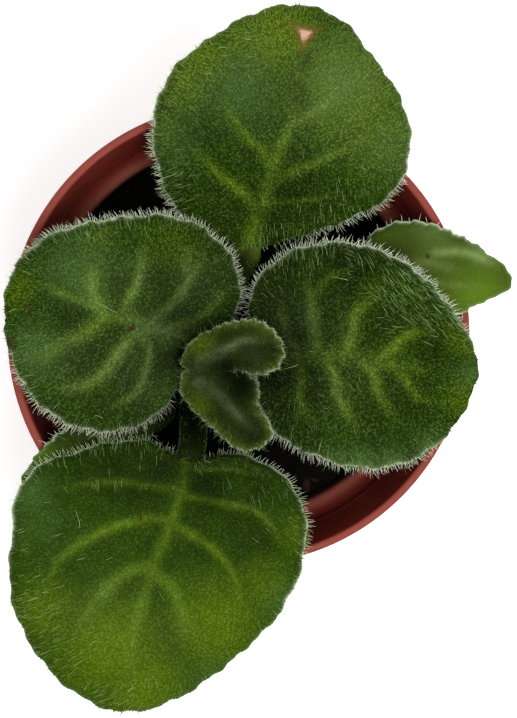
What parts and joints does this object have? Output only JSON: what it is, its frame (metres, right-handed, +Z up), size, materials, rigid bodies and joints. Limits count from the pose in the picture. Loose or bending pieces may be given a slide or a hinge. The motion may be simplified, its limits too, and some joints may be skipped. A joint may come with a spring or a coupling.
{
  "type": "potted primulina plant",
  "caption": "Small primulina rosette with broad, quilted, softly haired leaves in a round reddish-brown nursery pot with a stepped collar, peaty mix and drain holes.",
  "frame": {"origin": "on the pot's axis, at the middle of the flat base it stands on", "axes": "+Z up, out of the pot. Seen from above, +Y along the top leaf and +X along the right leaf, as the picture is framed"},
  "size_m": [0.0765, 0.1061, 0.0768],
  "materials": {
    "pot_plastic": "satin reddish-brown moulded plastic",
    "potting_mix": "dark damp crumbly peat mix",
    "stem_green": "matt pale green, hairy",
    "leaf_green": "dark green quilted leaf with fine silver hairs",
    "old_leaf_green": "smoother, yellower older leaf with fine hairs",
    "young_leaf_green": "young folded leaf, densely haired"
  },
  "bodies": {
    "root": {"pot": "pot_plastic", "potting_mix": "potting_mix", "stem": "stem_green", "leaf_top": "leaf_green", "leaf_bottom": "leaf_green", "leaf_left": "leaf_green", "leaf_right": "leaf_green", "leaf_far_right": "old_leaf_green", "leaf_low_left": "old_leaf_green", "leaf_young_upper": "young_leaf_green", "leaf_young_lower": "young_leaf_green"}
  },
  "joints": []
}
